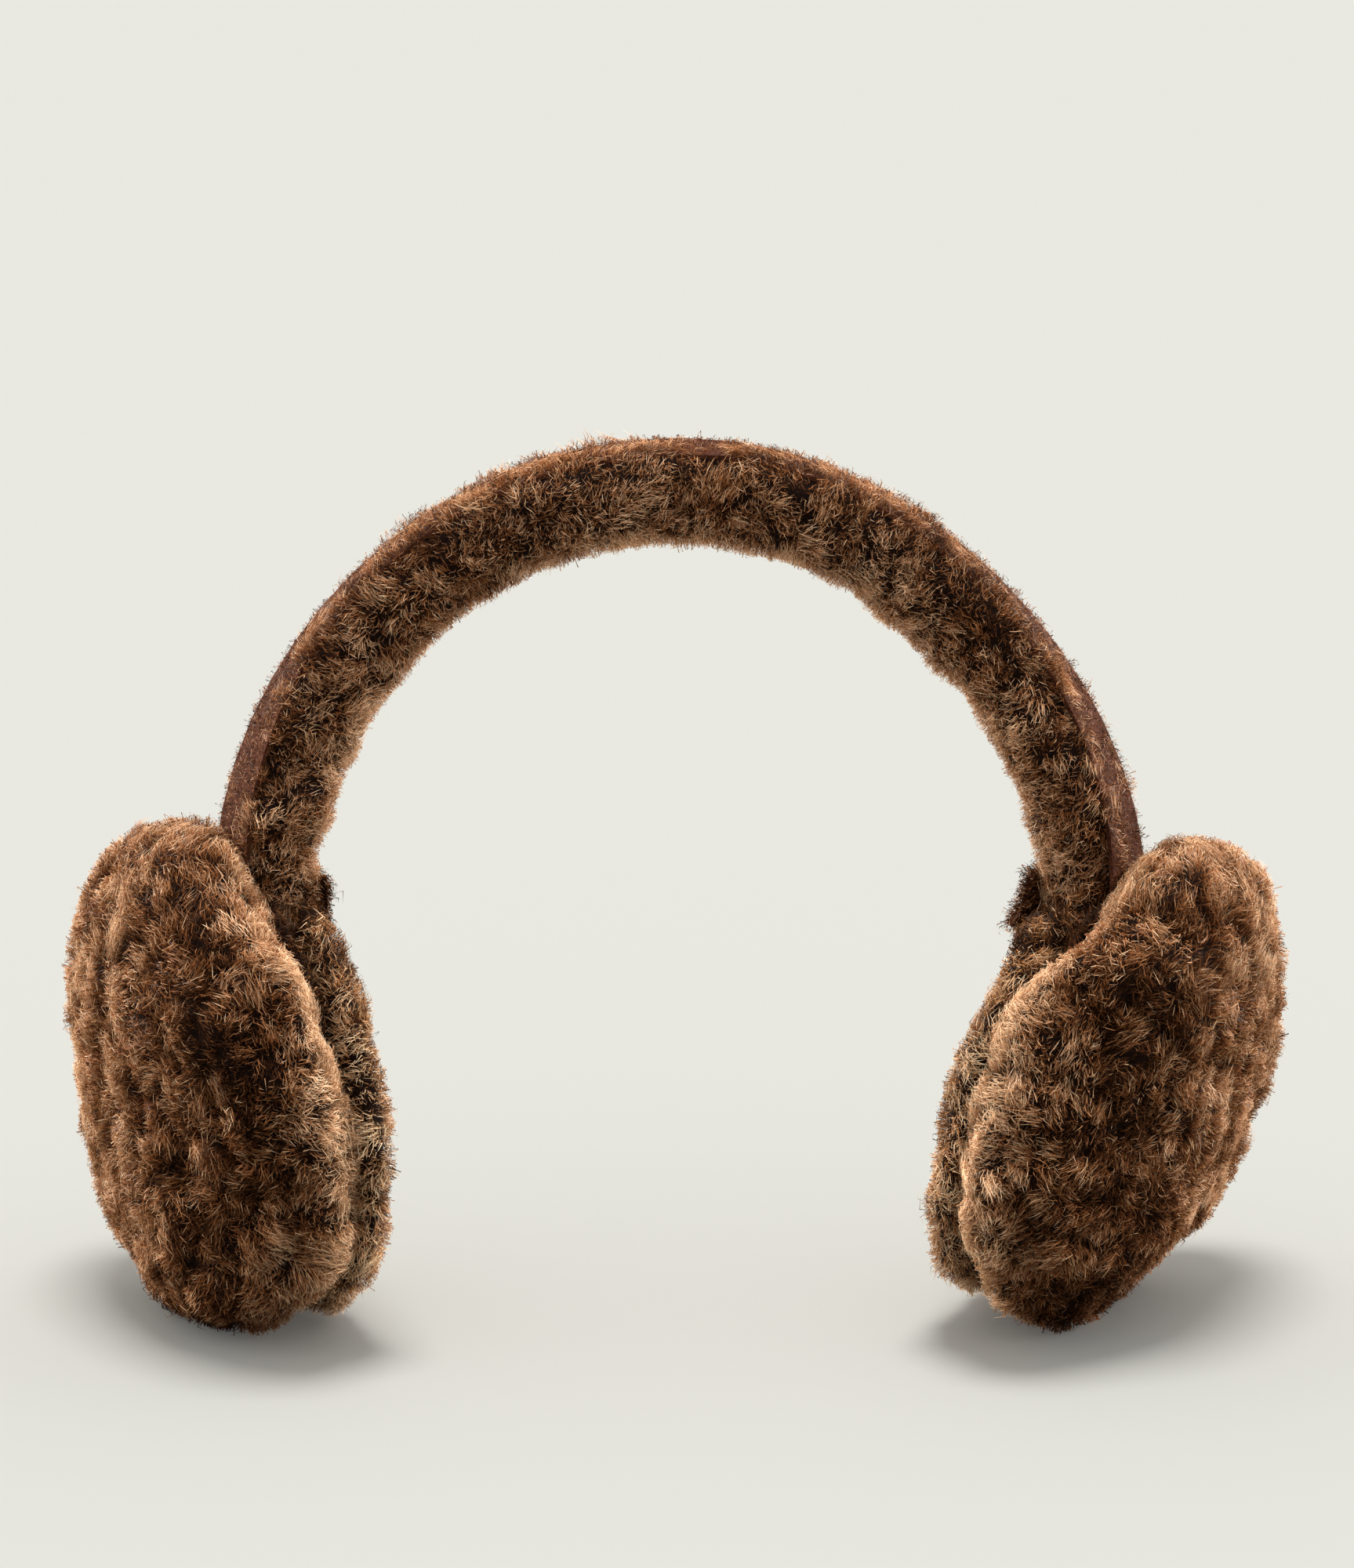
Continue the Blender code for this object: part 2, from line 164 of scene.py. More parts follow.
# How far a strand stands up before it bends over, as a share of its length, and how far it
# stands back, as a share of that
STAND = 0.30
STAND_BACK = 0.7
# Between two locks the pile is shorter, and darker with painted shade, over this share of a
# lock's size
LOCK_EDGE = 0.42
LOCK_EDGE_LENGTH = 0.58
LOCK_EDGE_PAINTED_SHADE = -0.32
# A lock is shaded as a dome: how far its edge faces aside, and the share that is left to
# each strand's own facing
LOCK_DOME = 0.65
OWN_FACING = 0.35
# A few hairs of a lock are much lighter than the others: painted highlights
PAINTED_HIGHLIGHT_SHARE = 0.10
PAINTED_HIGHLIGHT_TONE = 0.38

# Fur colours, in linear light: from the root over the middle to the tip. The near-black root is
# painted shade.
Shades = namedtuple("Shades", "root middle tip")
FUR_SHADES = Shades((0.010, 0.003, 0.001), (0.330, 0.112, 0.034), (0.880, 0.430, 0.190))
INNER_SHADES = Shades((0.024, 0.009, 0.004), (0.540, 0.235, 0.088), (0.900, 0.490, 0.225))
NAP_SHADES = Shades((0.030, 0.009, 0.004), (0.120, 0.036, 0.015), (0.700, 0.310, 0.140))
# The pelt's near-black is painted shade under the pile.
PELT_COLOUR = (0.009, 0.003, 0.0015)
SUEDE_COLOUR = (0.060, 0.019, 0.009)
SEAM_COLOUR = (0.012, 0.005, 0.003)
# What a strand's colour is multiplied by at each tone
Tint = namedtuple("Tint", "tone colour")
TINTS = (
    Tint(0.0, (0.02, 0.012, 0.010)),
    Tint(0.30, (0.18, 0.14, 0.11)),
    Tint(0.55, (0.66, 0.59, 0.51)),
    Tint(1.0, (1.45, 2.15, 3.20)),
)
FUR_SHINE_TINT = (1.0, 0.70, 0.48)
# Share of the light that shines through a strand instead of back from it
STRAND_TRANSLUCENCY = 0.48

# Pits, where the pile parts: places on a cup as shares of its radius, from the seam's
# middle. size and depth are shares of the radius too, and dark is what the tone loses, which is
# painted shade.
Pit = namedtuple("Pit", "side front up out size depth dark")
PITS = (
    Pit("left", 0.93, 0.44, 0.29, 0.11, 0.03, 0.45),
    Pit("left", 0.81, 0.43, 0.40, 0.08, 0.02, 0.30),
    Pit("left", 0.31, 0.08, 0.60, 0.08, 0.03, 0.40),
    Pit("left", 0.83, -0.24, 0.10, 0.10, 0.03, 0.45),
    Pit("left", 0.88, 0.09, 0.38, 0.05, 0.02, 0.35),
    Pit("left", 0.56, 0.35, 0.57, 0.08, 0.02, 0.25),
    Pit("left", 0.75, -0.02, 0.49, 0.08, 0.02, 0.20),
    Pit("left", 0.07, 0.35, 0.63, 0.07, 0.03, 0.30),
    Pit("left", -0.08, 0.26, 0.64, 0.07, 0.03, 0.30),
    Pit("left", 0.05, -0.19, 0.61, 0.07, 0.03, 0.25),
    Pit("left", 0.52, 0.84, 0.10, 0.26, 0.09, 0.25),
    Pit("right", 0.75, 0.68, 0.28, 0.10, 0.03, 0.40),
    Pit("right", 0.96, 0.34, 0.20, 0.08, 0.03, 0.40),
    Pit("right", 0.91, 0.35, 0.40, 0.08, 0.03, 0.40),
    Pit("right", 0.57, 0.59, 0.53, 0.08, 0.02, 0.30),
    Pit("right", 0.73, 0.19, 0.54, 0.09, 0.02, 0.35),
    Pit("right", 0.82, 0.06, 0.49, 0.05, 0.02, 0.30),
    Pit("right", 0.52, 0.84, 0.10, 0.26, 0.09, 0.25),
)
PIT_LENGTH = 0.5

# Where a change starts on a cup, and over what width it grows to its full measure. Places
# are shares of the cup's radius from the seam's middle.
Onset = namedtuple("Onset", "start width")
HANG_AHEAD = Onset(0.35, 0.4)
TUCK_OUT = Onset(0.30, 0.25)
TUCK_LOW = Onset(-0.42, 0.3)
RIDGE_AHEAD = Onset(0.50, 0.25)
INNER_TOP = Onset(0.45, 0.3)

# What is added to the tone of the pile. Of an outer pad, the rim, the front ridge and what
# faces left or right are lighter, which is painted light. An inner pad's rim is lighter,
# painted light, and its upper part darker, painted shadow of the band.
OUTER_TONE = -0.13
OUTER_RIM_PAINTED_LIGHT = 0.38
SIDE_PAINTED_LIGHT = 0.42
RIDGE_PAINTED_LIGHT = 0.34
RIDGE_WIDTH = 0.22
INNER_TONE = 0.02
INNER_RIM_PAINTED_LIGHT = 0.36
INNER_TOP_PAINTED_SHADOW = 0.50
BAND_TONE = 0.11
# The band's inner face is lighter: painted light.
BAND_INSIDE_PAINTED_LIGHT = 0.30
# The neck fold's pile is darker: painted shade under the band's end.
NECK_FOLD_PAINTED_SHADE = -0.14
# The seam's pile is darker: painted shade in the groove.
SEAM_PAINTED_SHADE = -0.30
# The pile is darker near the floor: painted shade.
FLOOR_PAINTED_SHADE = 0.30
FLOOR_PAINTED_SHADE_HEIGHT = 0.010

# Under the suede, the band faces out from the arch, and 1 is straight out. Its pelt keeps
# its place above the first of these, and no pile grows above the second.
UNDER_SUEDE = 0.78
BARE_UNDER_SUEDE = 0.92

# How far the pile wraps over the suede from its front edge, as a share of its width, at
# places around the arch from its top
Wrap = namedtuple("Wrap", "around_deg reach")
WRAPS = (
    Wrap(0, 0.30),
    Wrap(7, 0.34),
    Wrap(14, 0.56),
    Wrap(34, 0.56),
    Wrap(60, 0.20),
    Wrap(90, 0.10),
)
WRAP_FADE = 0.12
# The rear edge has a shorter fringe, which starts this far from the arch's top
REAR_FRINGE_FROM_DEG = 8
REAR_FRINGE_FADE_DEG = 8
REAR_FRINGE_LENGTH = 0.8

# The whorl is where a pad's pile runs away from. overhang is how far the front of an outer
# pad hangs over the seam, below overhang_top. tuck is how far the cup's lower outer edge is
# drawn in, and fold_tuck the neck fold's tip.
Side = namedtuple(
    "Side", "name sign whorl_front whorl_up overhang overhang_top tuck fold_tuck")
SIDES = (
    Side("left", -1, 0.88, 0.09, 0.0085, 0.40, 0.001, 0.005),
    Side("right", 1, 0.82, 0.06, 0.0058, 1.30, 0.009, 0.001),
)


def look_at(obj, target):
    obj.rotation_euler = (Vector(target) - obj.location).to_track_quat("-Z", "Y").to_euler()


def polar(around_deg, up_deg, distance):
    """A place seen from the object: around from the front to the right, and up."""
    around = math.radians(around_deg)
    up = math.radians(up_deg)
    return Vector((
        distance * math.sin(around) * math.cos(up),
        -distance * math.cos(around) * math.cos(up),
        distance * math.sin(up),
    ))


def make_camera():
    data = bpy.data.cameras.new("camera")
    data.lens = CAMERA_LENS_MM
    data.sensor_width = CAMERA_SENSOR_MM
    data.clip_end = 100
    camera = bpy.data.objects.new("camera", data)
    bpy.context.scene.collection.objects.link(camera)
    target = Vector(CAMERA_TARGET)
    camera.location = target + polar(0, CAMERA_ELEVATION_DEG, CAMERA_DISTANCE)
    look_at(camera, target)
    bpy.context.scene.camera = camera


def all_but(name, objects):
    """A collection that leaves these objects out of a lamp's light or shadow."""
    collection = bpy.data.collections.new(name)
    for obj in objects:
        collection.objects.link(obj)
    for entry in collection.collection_objects:
        entry.light_linking.link_state = "EXCLUDE"
    return collection


def make_light(floor):
    """The sky and the lamps. Side lamps leave the floor out, and the arch throws no shadow."""
    scene = bpy.context.scene
    unlit = all_but("not_lit_from_the_sides", [floor])
    shadowless = all_but(
        "no_shadow", [obj for obj in scene.objects if obj.name.startswith("headband")])
    scene.view_settings.view_transform = "Standard"
    world = bpy.data.worlds.new("studio")
    world.use_nodes = True
    background = world.node_tree.nodes["Background"]
    background.inputs["Color"].default_value = (*WORLD_COLOUR, 1)
    background.inputs["Strength"].default_value = WORLD_STRENGTH
    scene.world = world
    for lamp in LAMPS:
        data = bpy.data.lights.new(lamp.name, "SUN")
        data.energy = lamp.strength
        data.angle = math.radians(lamp.spread_deg)
        data.color = lamp.colour
        obj = bpy.data.objects.new(lamp.name, data)
        scene.collection.objects.link(obj)
        obj.location = polar(lamp.around_deg, lamp.up_deg, 2)
        look_at(obj, (0, 0, 0))
        if lamp.lights_floor:
            obj.light_linking.blocker_collection = shadowless
        else:
            obj.light_linking.receiver_collection = unlit


class Tree:
    """A short way to write a material's nodes."""

    def __init__(self, name):
        self.material = bpy.data.materials.new(name)
        self.material.use_nodes = True
        self.nodes = self.material.node_tree.nodes
        self.links = self.material.node_tree.links
        self.shader = self.nodes["Principled BSDF"]

    def add(self, kind, inputs=(), **settings):
        node = self.nodes.new("ShaderNode" + kind)
        for key, value in settings.items():
            setattr(node, key, value)
        for key, value in dict(inputs).items():
            if isinstance(value, bpy.types.NodeSocket):
                self.links.new(value, node.inputs[key])
            else:
                node.inputs[key].default_value = value
        return node

    def ramp(self, factor, stops):
        """A colour ramp. stops lists (place, colour)."""
        node = self.add("ValToRGB", {"Fac": factor})
        ramp = node.color_ramp
        while len(ramp.elements) < len(stops):
            ramp.elements.new(0.5)
        for element, (place, colour) in zip(ramp.elements, stops):
            element.position = place
            element.color = (*colour, 1)
        return node.outputs["Color"]

    def noise(self, scale, detail=3, roughness=0.6):
        """Noise over the object, with the scale in metres."""
        where = self.add("TexCoord").outputs["Object"]
        node = self.add("TexNoise", {
            "Vector": where, "Scale": 1 / scale, "Detail": detail, "Roughness": roughness})
        return node.outputs["Fac"]

    def mix(self, kind, factor, a, b):
        node = self.add("Mix", data_type="RGBA", blend_type=kind)
        sockets = (node.inputs[0], node.inputs[6], node.inputs[7])
        for socket, value in zip(sockets, (factor, a, b)):
            if isinstance(value, bpy.types.NodeSocket):
                self.links.new(value, socket)
            else:
                socket.default_value = value
        return node.outputs[2]

    def bump(self, height, distance, strength=1.0):
        node = self.add("Bump", {"Height": height, "Distance": distance, "Strength": strength})
        self.links.new(node.outputs["Normal"], self.shader.inputs["Normal"])

    def finish(self, surface):
        """Sets how shiny the surface is, and gives the material."""
        self.shader.inputs["Roughness"].default_value = surface.roughness
        self.shader.inputs["Specular IOR Level"].default_value = surface.specular
        return self.material


def scaled(colour, factor):
    return tuple(c * factor for c in colour)


def make_fur_material(name, shades):
    """Strand colour: dark at the root, which is painted shade, light at the tip, with a tone
    for each strand.
    """
    tree = Tree(name)
    along = tree.add("Attribute", attribute_name="along").outputs["Fac"]
    tone = tree.add("Attribute", attribute_name="tone").outputs["Fac"]
    body = tree.ramp(along, [
        (0.0, shades.root), (0.26, scaled(shades.middle, 0.35)), (0.50, shades.middle),
        (0.78, scaled(shades.tip, 0.80)), (1.0, shades.tip)])
    colour = tree.mix("MULTIPLY", 1.0, body, tree.ramp(tone, TINTS))
    tree.links.new(colour, tree.shader.inputs["Base Color"])
    tree.shader.inputs["Specular Tint"].default_value = (*FUR_SHINE_TINT, 1)
    through = tree.add("BsdfTranslucent", {"Color": colour})
    both = tree.add("MixShader", {0: STRAND_TRANSLUCENCY})
    tree.links.new(tree.shader.outputs[0], both.inputs[1])
    tree.links.new(through.outputs[0], both.inputs[2])
    tree.links.new(both.outputs[0], tree.nodes["Material Output"].inputs["Surface"])
    return tree.finish(FUR_SURFACE)


def make_pelt_material():
    """Short dense underfur, nearly black-brown between the tufts: painted shade."""
    tree = Tree("pelt")
    fine = tree.noise(0.0009, 4, 0.7)
    colour = tree.ramp(fine, [
        (0.30, scaled(PELT_COLOUR, 0.4)),
        (0.60, PELT_COLOUR),
        (0.85, scaled(PELT_COLOUR, 2.2)),
    ])
    tree.links.new(colour, tree.shader.inputs["Base Color"])
    tree.bump(fine, 0.0006)
    return tree.finish(PELT_SURFACE)


def smooth_field(points, scale, seed):
    """Smooth random values from -1 to 1 at points, which change over about one scale."""
    table = np.random.default_rng(seed).uniform(-1, 1, (32, 32, 32))
    spot = points / scale + 0.37 * seed
    cell = np.floor(spot).astype(int)
    share = spot - cell
    share = share * share * (3 - 2 * share)
    total = np.zeros(len(points))
    for corner in np.ndindex(2, 2, 2):
        weight = np.prod(np.where(corner, share, 1 - share), axis=1)
        index = (cell + corner) % 32
        total += weight * table[index[:, 0], index[:, 1], index[:, 2]]
    return total


def smooth_vectors(points, scale, seed):
    return np.stack([smooth_field(points, scale, seed + k) for k in range(3)], axis=1)


def unit(vectors):
    return vectors / np.maximum(np.linalg.norm(vectors, axis=1, keepdims=True), 1e-9)


def dot(a, b):
    return np.sum(a * b, axis=1, keepdims=True)


def above(values, start, width):
    """0 up to start, then rising to 1 over width."""
    return np.clip((values - start) / width, 0, 1)


def below(values, end, width):
    """0 from end on, and rising to 1 over width below it."""
    return np.clip((end - values) / width, 0, 1)


def mesh_arrays(mesh):
    """Points, vertex normals and triangles of a mesh."""
    mesh.calc_loop_triangles()
    points = np.empty(len(mesh.vertices) * 3)
    mesh.vertices.foreach_get("co", points)
    normals = np.empty(len(mesh.vertices) * 3)
    mesh.vertices.foreach_get("normal", normals)
    triangles = np.empty(len(mesh.loop_triangles) * 3, dtype=int)
    mesh.loop_triangles.foreach_get("vertices", triangles)
    return points.reshape(-1, 3), normals.reshape(-1, 3), triangles.reshape(-1, 3)


def scatter(mesh, count, rng, density=None):
    """Random places on a mesh, with the smooth normal at each. density weighs the places."""
    points, normals, triangles = mesh_arrays(mesh)
    corners = points[triangles]
    area = np.linalg.norm(
        np.cross(corners[:, 1] - corners[:, 0], corners[:, 2] - corners[:, 0]), axis=1)
    if density is not None:
        facing = unit(normals[triangles].mean(axis=1))
        area = area * density(corners.mean(axis=1), facing)
    pick = rng.choice(len(triangles), count, p=area / area.sum())
    share = rng.random((count, 2))
    over = share.sum(axis=1) > 1
    share[over] = 1 - share[over]
    weights = np.stack([1 - share.sum(axis=1), share[:, 0], share[:, 1]], axis=1)[:, :, None]
    places = np.sum(corners[pick] * weights, axis=1)
    facing = unit(np.sum(normals[triangles[pick]] * weights, axis=1))
    return places, facing


def surface_area(mesh):
    points, _, triangles = mesh_arrays(mesh)
    corners = points[triangles]
    cross = np.cross(corners[:, 1] - corners[:, 0], corners[:, 2] - corners[:, 0])
    return np.linalg.norm(cross, axis=1).sum() / 2


def link(name, mesh, material):
    obj = bpy.data.objects.new(name, mesh)
    bpy.context.scene.collection.objects.link(obj)
    mesh.materials.clear()
    mesh.materials.append(material)
    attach(obj, "root")
    return obj


def make_pelt(node, inset_at, material, shift=None):
    """Smooth pelt below the locks of a CAD fur solid.

    inset_at gives its depth at each place, and shift a move of its own.
    """
    work = bpy.data.objects.new("work", frame["nodes"][node].data.copy())
    bpy.context.scene.collection.objects.link(work)
    remesh = work.modifiers.new("even", "REMESH")
    remesh.mode = "VOXEL"
    remesh.voxel_size = PELT_VOXEL
    smooth = work.modifiers.new("smooth", "SMOOTH")
    smooth.factor = 0.5
    smooth.iterations = PELT_SMOOTHING
    bpy.context.view_layer.update()
    graph = bpy.context.evaluated_depsgraph_get()
    mesh = bpy.data.meshes.new_from_object(work.evaluated_get(graph))
    bpy.data.objects.remove(work)
    points, normals, _ = mesh_arrays(mesh)
    rise = sum(
        smooth_field(points, lump.size, lump.seed) * PELT_LUMP_HEIGHT for lump in PELT_LUMPS)
    rise -= inset_at(points, normals)
    points += normals * rise[:, None]
    if shift:
        points += shift(points)
    points[:, 2] = np.maximum(points[:, 2], FLOOR_CLEARANCE)
    mesh.vertices.foreach_set("co", points.ravel())
    mesh.update()
    mesh.shade_smooth()
    mesh.name = node + "_pelt"
    return link(node + "_pelt", mesh, material)


def ribbon_mesh(name, root, middle, tip, across, width, tone, facing):
    """Ribbons of two triangles each, bent at their widest place and shaded as facing says."""
    count = len(root)
    half = across * (width / 2)[:, None]
    rings = np.stack([root, middle - half, middle + half, tip], axis=1)
    corner = np.array([0, 2, 1, 1, 2, 3])
    index = (np.arange(count)[:, None] * 4 + corner).ravel()
    mesh = bpy.data.meshes.new(name)
    mesh.vertices.add(count * 4)
    mesh.vertices.foreach_set("co", rings.ravel())
    mesh.loops.add(count * 6)
    mesh.loops.foreach_set("vertex_index", index)
    mesh.polygons.add(count * 2)
    mesh.polygons.foreach_set("loop_start", np.arange(count * 2) * 3)
    along = np.tile([0.0, STRAND_MIDDLE, STRAND_MIDDLE, 1.0], count)
    tones = np.repeat(tone, 4)
    for key, values in (("along", along), ("tone", tones)):
        mesh.attributes.new(key, "FLOAT", "POINT").data.foreach_set("value", values)
    sideways = np.tile([0.0, -0.004, 0.004, 0.0], count)
    place = np.stack([0.02 + 0.96 * tones + sideways, 0.02 + 0.96 * along], axis=1)
    layer = mesh.uv_layers.new(name="OFBake")
    layer.uv.foreach_set("vector", place[index].ravel())
    mesh.update(calc_edges=True)
    mesh.shade_smooth()
    mesh.normals_split_custom_set_from_vertices(np.repeat(facing, 4, axis=0))
    return mesh


def locks_of(pelt, place, size, rng):
    """For each place: its lock, the lock's middle, and 0 between locks to 1 well inside one."""
    def warped(points):
        return points + 0.5 * size * smooth_vectors(points, size * 1.4, 61)

    locks = max(int(surface_area(pelt.data) / size ** 2), 8)
    middle, _ = scatter(pelt.data, locks, rng)
    tree = kdtree.KDTree(locks)
    for k, point in enumerate(warped(middle)):
        tree.insert(point, k)
    tree.balance()
    found = [tree.find_n(point, 2) for point in warped(place)]
    owner = np.array([near[1] for near, far in found])
    margin = np.array([far[2] - near[2] for near, far in found])
    inside = np.clip(margin / (LOCK_EDGE * size), 0, 1)
    return locks, owner, middle[owner], inside * inside * (3 - 2 * inside)


# One row for each bundle of strands. tip and aside are measured from its place.
Bundles = namedtuple("Bundles", "place normal direction length tone tip dome aside")


def grow(name, pelt, fur, flow, rng, density=None, shape=None):
    """Strands on a pelt.

    flow gives the pile's direction at each place, and density how thickly it grows there.
    shape gets places and normals, and returns a factor for the length and what is added to
    the tone.
    """
    count = fur.strands // BUNDLE_STRANDS
    place, normal = scatter(pelt.data, count, rng, density)
    locks, owner, lock_middle, inside = locks_of(pelt, place, fur.tuft, rng)
    lock_tone = rng.uniform(-1, 1, locks)[owner]
    lock_turn = rng.uniform(-1, 1, (locks, 3))[owner]
    lock_lean = rng.uniform(-1, 1, locks)[owner]
    lock_curl = np.where(rng.random(locks) < 0.5, -1, 1)[owner]

    direction = unit(flow(place, normal))
    direction = direction + WANDER_AMOUNT * smooth_vectors(place, WANDER_SCALE, 11)
    direction = direction + SMALL_WANDER_AMOUNT * smooth_vectors(place, SMALL_WANDER_SCALE, 21)
    direction = direction + LOCK_TURN * lock_turn + BUNDLE_TURN * rng.normal(size=(count, 3))
    direction = unit(direction - normal * dot(direction, normal))
    length = fur.length * (
        1 + LENGTH_SPREAD.lock * lock_lean + LENGTH_SPREAD.bundle * rng.normal(size=count))
    length *= LOCK_EDGE_LENGTH + (1 - LOCK_EDGE_LENGTH) * inside
    lean = np.radians(
        fur.lean_deg + LEAN_SPREAD_DEG.lock * lock_lean
        + LEAN_SPREAD_DEG.bundle * rng.normal(size=count))
    tone = TONE_MIDDLE + TONE_SPREAD.lock * lock_tone
    tone += TONE_SPREAD.bundle * rng.normal(size=count)
    # Painted shade lowers the tone between locks; the drift is the pile's own.
    tone += LOCK_EDGE_PAINTED_SHADE * (1 - inside) + TONE_DRIFT * smooth_field(place, 0.012, 31)
    if shape:
        longer, lighter = shape(place, normal)
        length *= longer
        tone += lighter
    lean = np.clip(lean, *LEAN_LIMITS)
    rise = (length * np.cos(lean))[:, None]
    reach = (length * np.sin(lean))[:, None]
    gather = lock_middle - place
    gather -= normal * dot(gather, normal)
    tip = normal * rise + direction * reach + gather * fur.pull
    hook = smooth_vectors(place, 0.0035, 51) + 0.3 * rng.normal(size=(count, 3))
    tip += hook * length[:, None] * HOOK
    dome = -gather / (0.5 * fur.tuft)
    aside = np.cross(normal, direction) * (lock_curl * length * CURL_ASIDE)[:, None]
    bundles = Bundles(place, normal, direction, length, tone, tip, dome, aside)
    return strand_ribbons(name, fur, bundles, rng)


def strand_ribbons(name, fur, bundles, rng):
    """The strands of all bundles, sheared, frizzed and shaded with their locks."""
    which = np.repeat(np.arange(len(bundles.place)), BUNDLE_STRANDS)
    count = len(which)
    jitter = rng.normal(size=(count, 3))
    out = bundles.normal[which]
    jitter -= out * dot(jitter, out)
    share = rng.uniform(*STRAND_LENGTHS, count)[:, None]
    root = bundles.place[which] + jitter * BUNDLE_ROOT - out * STRAND_ROOT_DEPTH
    curl = rng.normal(size=(count, 3))
    tip = bundles.place[which] + bundles.tip[which] * share + jitter * BUNDLE_TIP
    tip += curl * TIP_FRIZZ
    tip -= out * SHEARED_AWAY * np.maximum(dot(tip - root, out) - SHEARED * fur.length, 0)
    stand = (bundles.length[which] * STAND)[:, None]
    bend = root + (tip - root) * STRAND_MIDDLE
    bend = bend + out * stand - bundles.direction[which] * stand * STAND_BACK
    bend += bundles.aside[which] + rng.normal(size=(count, 3)) * BEND_FRIZZ
    for points in (bend, tip):
        points[:, 2] = np.maximum(points[:, 2], FLOOR_CLEARANCE * 0.4)
    run = unit(tip - root)
    across = unit(np.cross(run, out) + 0.6 * rng.normal(size=(count, 3)))
    across = unit(across - run * dot(across, run))
    own = np.cross(across, run)
    turned = np.sign(dot(own, out))
    lock_facing = (out + LOCK_DOME * bundles.dome[which]) * (1 - OWN_FACING)
    facing = unit(lock_facing + unit(own) * turned * OWN_FACING)
    width = fur.width * rng.uniform(*STRAND_WIDTHS, count)
    tone = bundles.tone[which] + STRAND_TONE_SPREAD * rng.normal(size=count)
    # A few hairs get painted highlights.
    tone += np.where(rng.random(count) < PAINTED_HIGHLIGHT_SHARE, PAINTED_HIGHLIGHT_TONE, 0)
    tone = np.clip(tone, *TONE_LIMITS)
    return ribbon_mesh(name, root, bend, tip, across * turned, width, tone, facing)


def toned(tone):
    """A shape for grow that only changes the tone."""
    return lambda place, normal: (1.0, tone)


def any_way(place, normal):
    """A flow that runs any way, and changes over about 8 mm."""
    return smooth_vectors(place, 0.008, 9)


def cup_axes(side):
    """Middle of a cup's seam, with its front, up and outward axes."""
    points, _, _ = mesh_arrays(frame["nodes"][side.name + "_seam"].data)
    middle = (points.min(axis=0) + points.max(axis=0)) / 2
    spread = np.linalg.eigh(np.cov((points - points.mean(axis=0)).T))[1]
    out = spread[:, 0] * np.sign(spread[0, 0] * side.sign)
    up = np.array([0, 0, 1.0]) - out * out[2]
    up /= np.linalg.norm(up)
    front = np.cross(out, up)
    front *= -np.sign(front[1])
    return middle, front, up, out


def pad_radius(side):
    low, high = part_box(side.name + "_outer_pad")
    return (high[2] - low[2]) / 2


